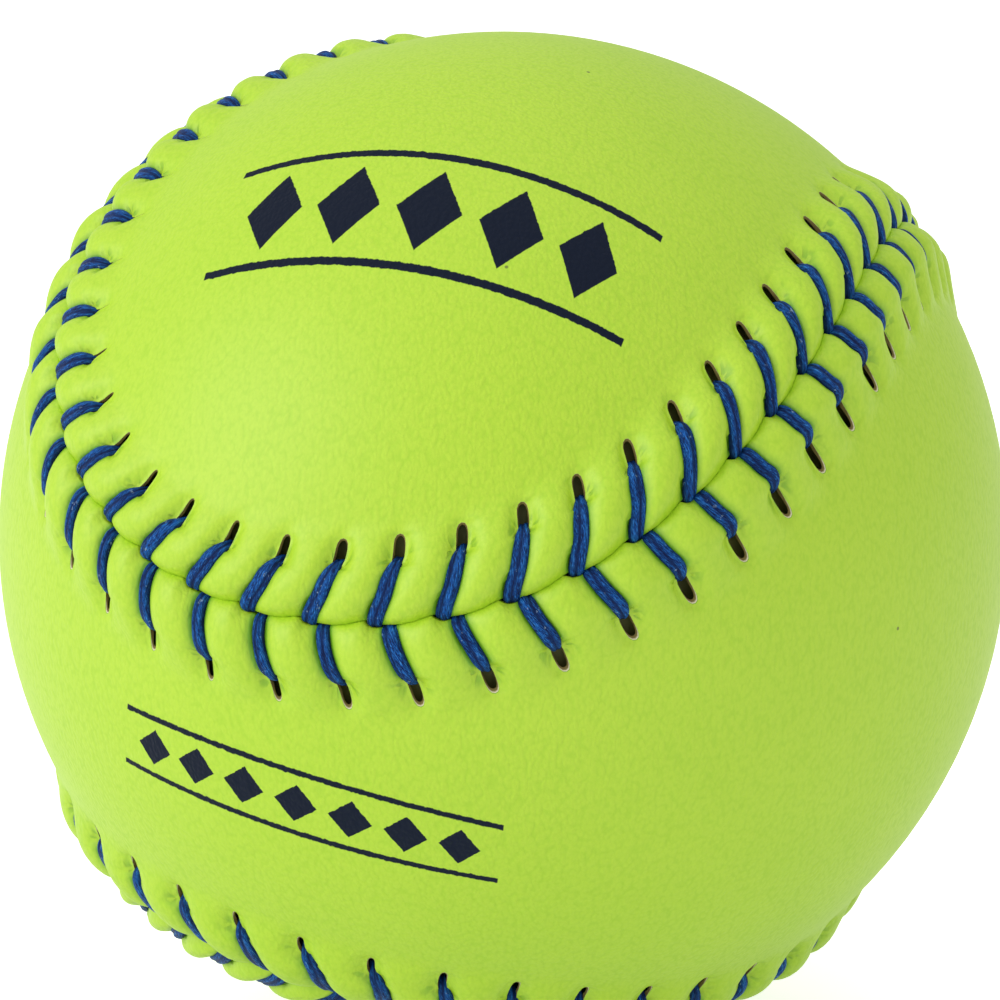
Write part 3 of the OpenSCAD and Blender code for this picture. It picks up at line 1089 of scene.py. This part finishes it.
@dataclass(frozen=True)
class Print:
    """A plain band of lozenges between two lines, printed on the cover."""

    azimuth: float  # turn of its middle round the ball, from the side that faces the camera
    elevation: float  # height of its middle, as an angle
    roll: float  # turn of the band about its middle
    length: float
    half_w: float  # distance from its middle line to its outer edge
    line_w: float
    count: int  # of lozenges
    bow: float  # how far the ends of the band drop
    soft: float = 0.06  # half the width over which the ink fades out
    end_gaps: float = 0.6  # room at its two ends, in lozenges
    fill: float = 0.4  # half a lozenge's width, as a share of its step
    clear: float = 1.6  # room between a lozenge and a line, in widths of the line

    def axes(self) -> tuple[Vector, Vector, Vector]:
        """The print's own directions.

        Returns:
            To its middle, along the band and up across it.
        """
        a, e = math.radians(self.azimuth), math.radians(self.elevation)
        middle = Vector((math.sin(a) * math.cos(e), -math.cos(a) * math.cos(e), math.sin(e)))
        east = Vector((math.cos(a), math.sin(a), 0))
        along = Matrix.Rotation(math.radians(self.roll), 3, middle) @ east
        return middle, along, middle.cross(along)

    def mask(self, shader: Shader, place: Signal, ragged: Signal, ball_r: float) -> Signal:
        """Where the ink lies.

        With u along the band and v across it, in millimetres, the lines are where v is between two values,
        and a lozenge is where the distances from its middle, each over its half width, add up to less
        than 1.

        Args:
            shader: The cover's shader.
            place: Object coordinates.
            ragged: Noise about 0 that roughens the ink's edge.
            ball_r: Radius of the ball.

        Returns:
            1 on the ink and 0 off it.
        """
        axes = [tuple(axis) for axis in self.axes()]
        depth, u, v = (shader.vector("DOT_PRODUCT", place, axis, output="Value") for axis in axes)
        u = u / depth * ball_r
        v = v / depth * ball_r + ragged
        far = abs(v + u * u * (self.bow / (self.length / 2) ** 2))
        inner = self.half_w - self.line_w

        def within(value: Signal, limit: float) -> Signal:
            """1 where a value is below a limit."""
            return value.step(limit + self.soft, limit - self.soft)

        line = far.step(inner - self.soft, inner + self.soft) * within(far, self.half_w)
        line = line * within(abs(u), self.length / 2)
        step = self.length / (self.count + self.end_gaps)
        cell = abs((u / step + self.count / 2).math("FRACT") - 0.5) * step
        lozenge = cell / (self.fill * step) + far / (inner - self.clear * self.line_w)
        lozenge = (lozenge + ragged * 0.1).step(1.02, 0.98)
        lozenge = lozenge * within(abs(u), self.count / 2 * step)
        return line.math("MAXIMUM", lozenge) * depth.step(0.0, MM)


@dataclass(frozen=True)
class CoverFinish:
    """Optic yellow leather: pebble grain, puckers at the slots, specks, navy print, cut edges, and painted
    shade round the stitches.
    """

    prints: tuple[Print, ...]
    base: Colour = (0.458, 0.685, 0.026)
    shade: Colour = (0.330, 0.590, 0.009)  # in the hollows of its grain
    ink: Colour = srgb(12, 22, 40)
    painted_shade: Colour = (0.130, 0.370, 0.006)  # painted shade beside a stitch, in the puckers at its slot and at the top of a slot's wall
    rim: Colour = srgb(226, 218, 184)  # of the cut edge of the backing
    deep: Colour = srgb(118, 104, 60)  # of the back, which most of a slot's wall also takes: partly the back's own colour, partly painted shade down the slot
    speck: Colour = srgb(86, 92, 30)
    grain_mm: float = 0.42  # width of a pebble
    wander_mm: float = 0.5  # how far noise moves the pebbles
    wander_scale: float = 1100.0
    fine_scale: float = 4200.0
    mottle_scale: float = 60.0
    ragged_scale: float = 1900.0
    speck_scale: float = 160.0
    slot_at: float = 5.2  # distance of a slot's near end from the seam

    def puckers(self, shader: Shader) -> tuple[Signal, Signal]:
        """Creases that run out from a slot's near end, a wave round it that fades, and where shade is
        painted beside a stitch.

        Args:
            shader: The cover's shader.

        Returns:
            The creases, with 1 at the bottom of one, and the mask of painted shade, with 1 beside a stitch.
        """
        parts = shader.add("ShaderNodeSeparateXYZ", None, {0: shader.attribute("sewn", "Vector")})
        d, x, pillow = (shader.read(parts, axis) for axis in "XYZ")
        before = x.step(self.slot_at, self.slot_at - 1)
        # Painted shade in a strip beside each stitch, darkest at its edge, up to its slot.
        beside = (d.step(1.5, 0.8) * 0.5 + d.step(1.0, 0.78) * 0.45) * before
        x = x - self.slot_at
        away = (d * d + x * x).math("SQRT")
        turned = {0: x.math("ARCTAN2", d) * 1.5, 1: away * 0.35, 2: pillow * 4.0}
        wave = shader.noise(shader.read(shader.add("ShaderNodeCombineXYZ", None, turned)), 1.3, 0.0)
        return wave.step(0.52, 0.7) * away.step(0.3, 0.6) * away.step(1.9, 0.7), beside

    def make(self, ball_r: float) -> bpy.types.Material:
        """Makes the material.

        Args:
            ball_r: Radius of the ball.

        Returns:
            The material.
        """
        shader = Shader(bpy.data.materials.new("optic_yellow_leather"))
        place = shader.place()
        drawn = shader.vector("MULTIPLY", place, (1.0, 1.0, 0.6))
        wander = shader.noise(drawn, self.wander_scale, 1.0, output="Color")
        bent = shader.vector("MULTIPLY_ADD", wander, (self.wander_mm * MM,) * 3, drawn)
        pebble = shader.cells(bent, 1 / (self.grain_mm * MM), 0.5)
        fine = shader.noise(drawn, self.fine_scale, 2.0, 0.6)
        mottle = shader.noise(place, self.mottle_scale, 3.0, 0.55)
        ragged = (shader.noise(place, self.ragged_scale, 2.0, 0.6) - 0.5) * 0.35
        hollow = pebble.step(0.35, 0.85)
        puckers, beside = self.puckers(shader)
        tone = hollow * 0.35 + mottle.step(0.3, 0.7) * 0.12 + fine.step(0.36, 0.64) * 0.2
        colour = shader.mix(tone, self.base, self.shade)
        # Painted shade in the creases of the puckers and beside the stitches.
        colour = shader.mix((puckers * 0.5).math("MAXIMUM", beside), colour, self.painted_shade)
        dots = shader.cells(place, self.speck_scale, 0.0).step(0.035, 0.02)
        speck = dots * shader.noise(place, 90.0, 0.0).step(0.56, 0.6)
        colour = shader.mix(speck * 0.8, colour, self.speck)
        cut = shader.attribute("cut", "Fac")
        uncut = cut.step(0.05, 0.0)
        ink, *more = (motif.mask(shader, place, ragged, ball_r) for motif in self.prints)
        for mask in more:
            ink = ink.math("MAXIMUM", mask)
        ink = ink * uncut
        colour = shader.mix(ink, colour, self.ink)
        # Painted shade at the top of a slot's wall, where the leather turns down into the slot.
        colour = shader.mix(cut.step(0.0, 0.1), colour, self.painted_shade)
        wall = shader.mix(cut.step(0.25, 0.6), self.rim, self.deep)
        colour = shader.mix(cut.step(0.1, 0.22), colour, wall)
        return shader.finish({
            "Base Color": colour,
            "Roughness": 0.55 + mottle * 0.08 + hollow * 0.08,
            "Specular IOR Level": 0.12,
            "Coat Weight": uncut * (1 - ink) * 0.35,
            "Coat IOR": 2.0,
            "Coat Roughness": 0.45,
            "Normal": shader.bump((fine * 0.45 - pebble) * 0.07 - puckers * 0.07, 1.0),
        })


@dataclass(frozen=True)
class ThreadFinish:
    """Waxed thread of many strands: fibre streaks with painted glints, painted shade between strands and on
    its flanks, and dull specks of wax.
    """

    light: Colour = srgb(72, 152, 228)  # painted glints on the strands' tops, scattered along the fibres by noise
    body: Colour = srgb(17, 90, 174)
    dark: Colour = srgb(4, 21, 66)  # painted shade between strands, in the groove between the plies and on the flanks
    wax: Colour = srgb(150, 175, 200)
    streaks: Colour = (3.4, 3.4, 0.5)  # how fine they are, across and along the thread
    fibres: Colour = (12.0, 12.0, 2.5)
    wax_scale: float = 1500.0

    def make(self) -> bpy.types.Material:
        """Makes the material.

        Returns:
            The material.
        """
        shader = Shader(bpy.data.materials.new("waxed_blue_thread"))
        strand = shader.attribute("strand", "Vector")
        streak = shader.noise(shader.vector("MULTIPLY", strand, self.streaks), 1.0, 3.0, 0.6)
        fibre = shader.noise(shader.vector("MULTIPLY", strand, self.fibres), 1.0, 2.0, 0.65)
        dull = shader.noise(shader.place(), self.wax_scale, 2.0, 0.6)
        # Painted shade between the strands, laid out by noise.
        colour = shader.mix((streak * 0.35 + fibre * 0.65).step(0.4, 0.58), self.dark, self.body)
        # Painted glints on the strands' tops, laid out by noise.
        colour = shader.mix((fibre * 0.7 + streak * 0.3).step(0.54, 0.68), colour, self.light)
        # Painted shade in the groove between the plies and on the thread's flanks.
        colour = shader.mix(shader.attribute("groove", "Fac") * 0.95, colour, self.dark)
        colour = shader.mix(dull.step(0.66, 0.72) * fibre.step(0.45, 0.6) * 0.8, colour, self.wax)
        return shader.finish({
            "Base Color": colour,
            "Roughness": 0.5 + dull * 0.15,
            "Specular IOR Level": 0.15,
            "Normal": shader.bump(streak * 0.06 + fibre * 0.10, 1.0),
        })


@dataclass(frozen=True)
class FoamFinish:
    """Moulded polyurethane foam, with a skin of small closed cells."""

    pale: Colour = srgb(226, 214, 180)
    warm: Colour = srgb(198, 178, 132)  # between its cells
    cell_scale: float = 1100.0
    cloud_scale: float = 70.0

    def make(self) -> bpy.types.Material:
        """Makes the material.

        Returns:
            The material.
        """
        shader = Shader(bpy.data.materials.new("moulded_foam"))
        place = shader.place()
        cell = shader.cells(place, self.cell_scale, 0.2)
        cloud = shader.noise(place, self.cloud_scale, 3.0, 0.6)
        return shader.finish({
            "Base Color": shader.mix(cell * 0.5 + cloud * 0.5, self.pale, self.warm),
            "Roughness": 0.8 + cloud * 0.1,
            "Normal": shader.bump(cell, 0.08),
        })


@dataclass(frozen=True)
class CementFinish:
    """Dried contact cement: brushed on, satin, and dark where it has gathered."""

    thin: Colour = srgb(136, 138, 62)
    thick: Colour = srgb(100, 104, 42)
    brush_scale: float = 420.0

    def make(self) -> bpy.types.Material:
        """Makes the material.

        Returns:
            The material.
        """
        shader = Shader(bpy.data.materials.new("dried_cement"))
        drawn = shader.vector("MULTIPLY", shader.place(), (1.0, 1.0, 0.25))
        brushed = shader.noise(drawn, self.brush_scale, 3.0, 0.6)
        return shader.finish({
            "Base Color": shader.mix(brushed.step(0.35, 0.65), self.thin, self.thick),
            "Roughness": 0.45 + brushed * 0.2,
            "Normal": shader.bump(brushed, 0.15),
        })


@dataclass(frozen=True)
class Lamp:
    """A square soft lamp that faces the ball."""

    name: str
    at: tuple[float, float, float]  # in metres
    side: float  # in metres
    power: float  # in watts

    def hang(self) -> None:
        """Puts the lamp in the scene."""
        data = bpy.data.lights.new(self.name, "AREA")
        data.shape = "SQUARE"
        data.size = self.side
        data.energy = self.power
        lamp = bpy.data.objects.new(self.name, data)
        lamp.location = self.at
        lamp.rotation_euler = (-Vector(self.at)).to_track_quat("-Z", "Y").to_euler()
        bpy.context.scene.collection.objects.link(lamp)


@dataclass(frozen=True)
class Studio:
    """A pale floor, soft lamps and the camera."""

    camera_at: tuple[float, float, float] = (-0.304, -472.6, 86.8)
    camera_down: float = 10.0  # angle at which it looks down
    lens_mm: float = 178.97  # focal length on a sensor of 36 mm
    clip: Span = (0.01, 50.0)  # nearest and farthest that it sees, in metres
    floor_half: float = 6.0  # half the side of the floor, in metres
    floor_tone: float = 0.92
    floor_lift: float = 0.6  # white that only the camera sees on the floor
    sky: float = 0.8  # strength of the world's light
    white: Colour = (1.0, 1.0, 1.0)
    lamps: tuple[Lamp, ...] = (
        Lamp("key_lamp", at=(-1.1, -0.55, 0.55), side=1.0, power=8.0),
        Lamp("top_lamp", at=(-0.1, -0.1, 1.4), side=1.2, power=1.2),
    )

    def floor(self, bottom: float) -> None:
        """A plain pale floor under the ball, white to the camera outside the ball's shadow.

        Args:
            bottom: Its height, in metres.
        """
        mesh = bpy.data.meshes.new("floor")
        signs = [(-1, -1), (1, -1), (1, 1), (-1, 1)]
        corners = [(x * self.floor_half, y * self.floor_half, bottom) for x, y in signs]
        mesh.from_pydata(corners, [], [(0, 1, 2, 3)])
        floor = bpy.data.objects.new("floor", mesh)
        bpy.context.scene.collection.objects.link(floor)
        shader = Shader(bpy.data.materials.new("pale_floor"))
        path = shader.add("ShaderNodeLightPath")
        seen = shader.read(path, "Is Camera Ray") + shader.read(path, "Is Glossy Ray")
        seen = seen.math("ADD", shader.read(path, "Is Transmission Ray"), clamp=True)
        plain = shader.add("ShaderNodeBsdfDiffuse", None, {"Color": (self.floor_tone,) * 3})
        glow = {"Color": self.white, "Strength": seen * self.floor_lift}
        lift = shader.add("ShaderNodeEmission", None, glow)
        both = shader.add("ShaderNodeAddShader", None, {0: shader.read(plain), 1: shader.read(lift)})
        shader.add("ShaderNodeOutputMaterial", None, {"Surface": shader.read(both)})
        mesh.materials.append(shader.owner)

    def world(self) -> None:
        """An even white world, which the camera sees as plain white, also through glass."""
        world = bpy.data.worlds.new("studio")
        bpy.context.scene.world = world
        shader = Shader(world)
        path = shader.add("ShaderNodeLightPath")
        seen = shader.read(path, "Is Camera Ray").math("MAXIMUM", shader.read(path, "Is Transmission Ray"))
        lights = [{"Color": self.white, "Strength": strength} for strength in (self.sky, 1.0)]
        plain, bright = (shader.read(shader.add("ShaderNodeBackground", None, light)) for light in lights)
        both = shader.add("ShaderNodeMixShader", None, {0: seen, 1: plain, 2: bright})
        shader.add("ShaderNodeOutputWorld", None, {"Surface": shader.read(both)})

    def camera(self) -> None:
        """The camera, level from side to side and looking a little down along +Y."""
        data = bpy.data.cameras.new("camera")
        data.lens = self.lens_mm
        data.clip_start, data.clip_end = self.clip
        camera = bpy.data.objects.new("camera", data)
        camera.location = Vector(self.camera_at) * MM
        camera.rotation_euler = (math.radians(90 - self.camera_down), 0, 0)
        bpy.context.scene.collection.objects.link(camera)
        bpy.context.scene.camera = camera

    def build(self, bottom: float) -> None:
        """Sets up the whole studio.

        Args:
            bottom: Height of the ball's lowest point, where the floor lies, in metres.
        """
        self.world()
        self.floor(bottom)
        for lamp in self.lamps:
            lamp.hang()
        self.camera()


@dataclass
class Softball:
    """The whole ball, from its driving sizes to its dressed pieces."""

    seam: Seam = field(default_factory=Seam)
    prints: tuple[Print, ...] = (
        Print(azimuth=-11.5, elevation=47.0, roll=-9.0,
              length=44.0, half_w=7.0, line_w=0.9, count=5, bow=2.0),
        Print(azimuth=-24.0, elevation=-20.0, roll=-14.0,
              length=40.0, half_w=3.6, line_w=0.6, count=7, bow=1.5),
    )

    def __post_init__(self) -> None:
        """Lays out the stitching and names the pieces."""
        sewn = (self.seam, Stitching(self.seam))
        self.panels = [
            # Panel A's slot far walls take the brown of the back at once, painted shade where they face
            # away from the light; panel B's keep the pale rim colour further down, painted light where they
            # face up into it.
            CoverPanel("leather_panel_a", "cover_panel_a", Side.A, *sewn,
                       even_share=1.5, lobe_eighth=3, bevel=0.2, tip_power=0.2),
            CoverPanel("leather_panel_b", "cover_panel_b", Side.B, *sewn,
                       even_share=0.75, lobe_eighth=1, bevel=0.45, tip_power=1.0),
        ]
        self.threads = [
            Thread("waxed_thread_a", "thread_a", 0, *sewn),
            Thread("waxed_thread_b", "thread_b", 1, *sewn),
        ]

    def build(self) -> list[bpy.types.Object]:
        """Makes and dresses every piece.

        Returns:
            The pieces.
        """
        leather = CoverFinish(self.prints).make(self.seam.ball_r)
        waxed = ThreadFinish().make()
        made = [panel.dress(panel.build(), leather) for panel in self.panels]
        made += [thread.dress(thread.build(), waxed) for thread in self.threads]
        for node, finish in (("core", FoamFinish()), ("cement_coat", CementFinish())):
            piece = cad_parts[node]
            piece.data.materials.clear()
            piece.data.materials.append(finish.make())
            made.append(piece)
        return made


def main() -> None:
    """Builds the ball and its studio, and reports each piece."""
    logging.basicConfig(level=logging.INFO, format="%(name)s: %(message)s", force=True)
    for piece in Softball().build():
        log.info("%s: %d faces", piece.name, len(piece.data.polygons))
    Studio().build(cad_box[0].z)
    bpy.context.scene.view_settings.view_transform = "Standard"


if __name__ == "__main__":
    main()
